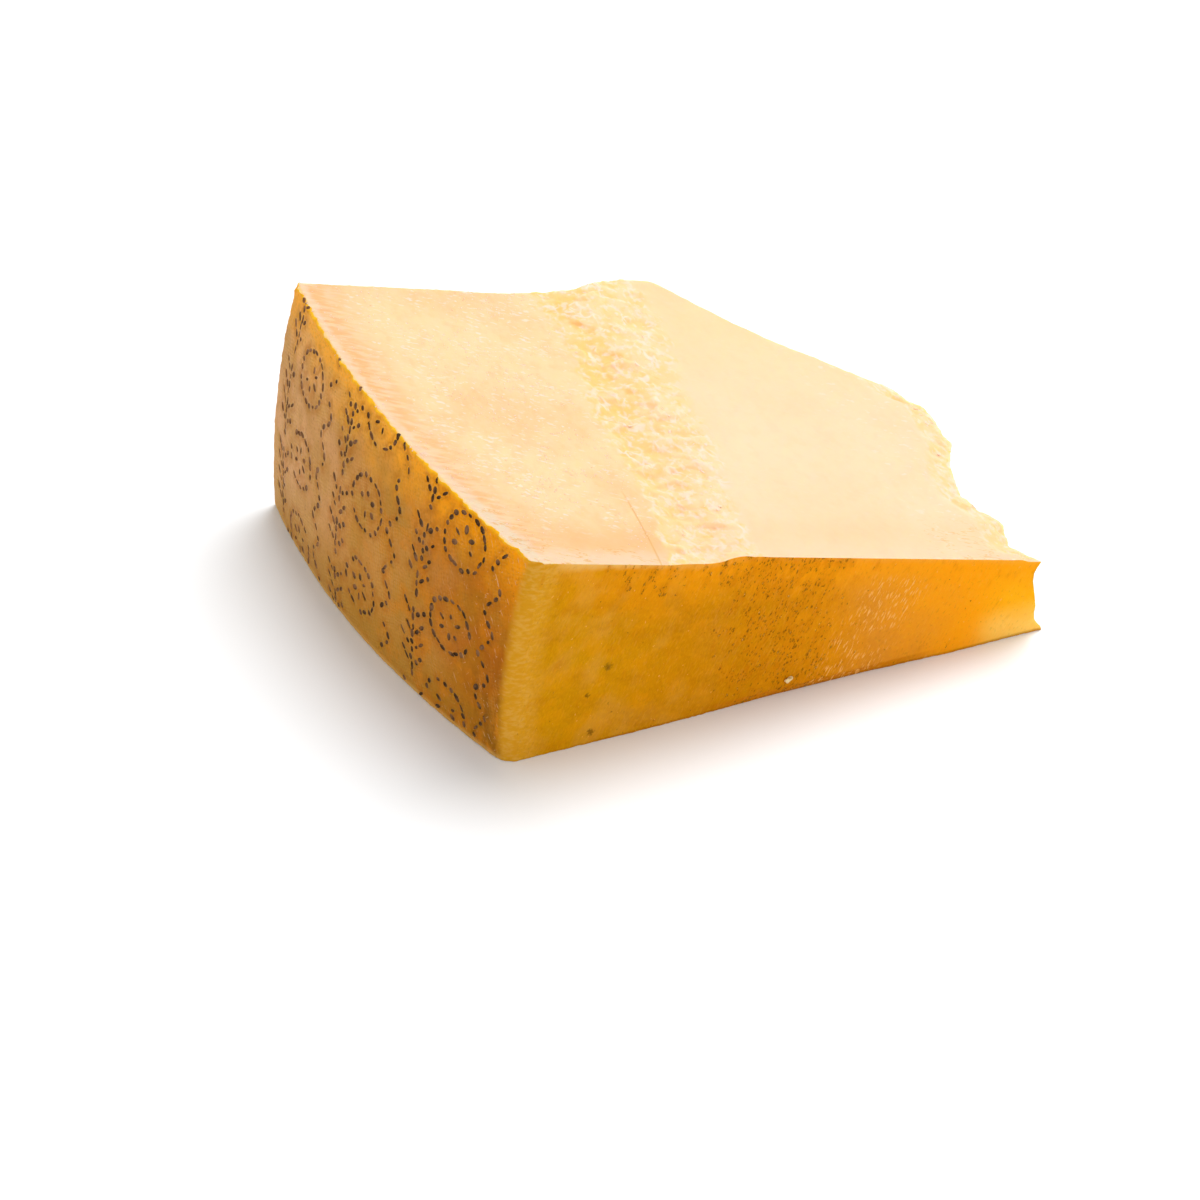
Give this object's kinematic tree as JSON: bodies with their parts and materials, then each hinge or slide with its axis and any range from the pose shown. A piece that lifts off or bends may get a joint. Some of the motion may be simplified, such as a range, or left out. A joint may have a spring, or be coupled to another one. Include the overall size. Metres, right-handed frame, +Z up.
{
  "type": "grana cheese chunk",
  "caption": "Wedge of aged hard cheese cut from half a wheel's height, with a barrel-shaped rind, flat rind face, split band on the cuts and a broken tip.",
  "frame": {"origin": "middle of the bounding box at the table, on the flat cut that the chunk lies on", "axes": "+X from the bulging rind side towards the wheel's centre (the broken tip), +Y from the wheel's flat rind face towards its mid-height, +Z up from the cut it lies on to the other cut"},
  "size_m": [0.1574, 0.123, 0.0632],
  "materials": {
    "cheese_paste": "pale straw cheese paste, fine-grained and faintly waxy where cut, crumbly where split or broken",
    "cheese_rind": "thick amber rind, smooth and oily-satin on the flat face, finely cloth-textured with dotted brown marks on the bulging side"
  },
  "bodies": {
    "root": {"cheese_chunk": "cheese_paste"}
  },
  "joints": []
}
